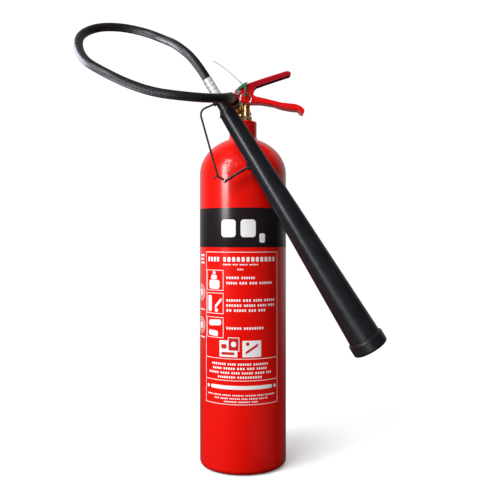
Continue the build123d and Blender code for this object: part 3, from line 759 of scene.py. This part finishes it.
# tall softbox at the left front, stronger above, which gives the narrow upright highlight
area("softbox_left", (-1.135, -1.075, 1.22), (0, 0, 1.22), 0.36, 1.36, 9.0)
area("softbox_low", (-1.135, -1.075, 0.47), (0, 0, 0.47), 0.36, 0.14, 4.0)
area("fill_left", (-1.5, -0.8, 0.9), (0, 0, 0.4), 0.8, 0.8, 1.6, glossy=False)
area("fill_front", (-0.70, -1.50, 1.45), (0, 0, 0.45), 1.0, 0.6, 8.6, glossy=False)
glint = area("glint", (-1.135, -1.075, 1.20), (0, 0, 1.20), 0.44, 1.40, 11.0)
glint.visible_diffuse = False
# what the white floor throws back at the foot
area("floor_bounce", (0.34, -0.30, 0.002), (0.34, -0.30, 1.0), 0.55, 0.5, 0.55, glossy=False)
# broad overhead for the tops and the floor, kept out of the reflections
area("overhead", (-0.22, -0.32, 2.1), (0, 0, 0.4), 0.36, 0.36, 24.0, glossy=False)
sun = bpy.data.lights.new("sky", "SUN")
sun.energy = 0.7
sun.angle = math.radians(50)
sky = bpy.data.objects.new("sky", sun)
sky.rotation_mode = "QUATERNION"
sky.rotation_quaternion = Vector((0.42, 0.30, -0.86)).normalized().to_track_quat("-Z", "Y")
sky.visible_glossy = False
coll.objects.link(sky)
# low strip that draws the soft streak along the horn
streak = area("horn_strip", (-0.80, -1.42, 0.20), (0.0, -0.09, 0.45), 0.34, 0.62, 13.0, (0.90, 0.91, 1.0))
only_for(streak, ["discharge_horn", "horn_grip"], [hose])
# cards for the bright metal
METAL = ["valve_body", "gland_nut", "outlet_union_nut", "burst_disc_plug", "hose_nipple", "safety_pin", "pull_ring", "lever_pivot_pin",
         "handle_jam_nut", "valve_spindle", "hose_sleeve_horn_end"]
# pale card low on the left, mirrored in the hose's outer side
hose_card = area("hose_card", (-1.7, 0.35, 0.95), (-0.2, -0.1, 0.65), 1.6, 1.2, 9.0, (0.88, 0.86, 1.0))
only_for(hose_card, [], [hose])
hose_low = area("hose_low", (-0.95, -0.15, 0.004), (-0.95, -0.15, 1.0), 0.9, 0.8, 7.0, (0.88, 0.86, 1.0))
only_for(hose_low, [], [hose])
# what the floor throws up under the grips and the horn's lip
under = area("grip_under", (0.15, -0.55, 0.18), (0.05, 0.0, 0.6), 0.6, 0.4, 1.8, glossy=False)
only_for(under, ["carry_handle"])
lip = area("lip_under", (0.10, -0.75, 0.004), (0.10, -0.75, 1.0), 0.7, 0.5, 1.6)
only_for(lip, ["discharge_horn"])
card = area("card_right", (0.75, -1.05, 0.55), (0, 0, 0.58), 0.5, 0.7, 3.0)
only_for(card, METAL)
card2 = area("card_front", (-0.30, -1.30, 0.95), (0, 0, 0.58), 0.35, 0.5, 2.2)
only_for(card2, METAL)

world = bpy.data.worlds.new("studio")
scene.world = world
world.use_nodes = True
nt = world.node_tree
nt.nodes.clear()
out = nt.nodes.new("ShaderNodeOutputWorld")
bg_room = nt.nodes.new("ShaderNodeBackground")
bg_cam = nt.nodes.new("ShaderNodeBackground")
bg_cam.inputs["Color"].default_value = (1, 1, 1, 1)
bg_cam.inputs["Strength"].default_value = 1.05
lp = nt.nodes.new("ShaderNodeLightPath")
tc = nt.nodes.new("ShaderNodeTexCoord")
sep = nt.nodes.new("ShaderNodeSeparateXYZ")
nt.links.new(tc.outputs["Generated"], sep.inputs[0])


def falloff(value, lo, hi, dark, light):
    mr = nt.nodes.new("ShaderNodeMapRange")
    mr.interpolation_type = "SMOOTHSTEP"
    mr.inputs["From Min"].default_value = lo
    mr.inputs["From Max"].default_value = hi
    mr.inputs["To Min"].default_value = dark
    mr.inputs["To Max"].default_value = light
    nt.links.new(value, mr.inputs["Value"])
    return mr.outputs["Result"]


def mixed(fac, a, b):
    m = nt.nodes.new("ShaderNodeMixShader")
    nt.links.new(fac, m.inputs[0])
    nt.links.new(a, m.inputs[1])
    nt.links.new(b, m.inputs[2])
    return m.outputs[0]


# the room is dim on the camera's side in the reflections, and white behind the object
bg_gloss = nt.nodes.new("ShaderNodeBackground")
low = nt.nodes.new("ShaderNodeMath")
low.operation = "MULTIPLY"
nt.links.new(falloff(sep.outputs[1], 0.10, 0.85, 0.03, 0.42), low.inputs[0])
nt.links.new(falloff(sep.outputs[2], -0.22, -0.02, 0.15, 1.0), low.inputs[1])
nt.links.new(low.outputs[0], bg_gloss.inputs["Strength"])
dot = nt.nodes.new("ShaderNodeVectorMath")
dot.operation = "DOT_PRODUCT"
dot.inputs[1].default_value = (-0.78, 0.42, 0.46)
nt.links.new(tc.outputs["Generated"], dot.inputs[0])
nt.links.new(falloff(dot.outputs["Value"], -0.70, 0.7, 0.11, 0.72), bg_room.inputs["Strength"])
lit = mixed(lp.outputs["Is Glossy Ray"], bg_room.outputs[0], bg_gloss.outputs[0])
nt.links.new(mixed(lp.outputs["Is Camera Ray"], lit, bg_cam.outputs[0]), out.inputs[0])

scene.view_settings.view_transform = "Standard"
scene.view_settings.look = "None"
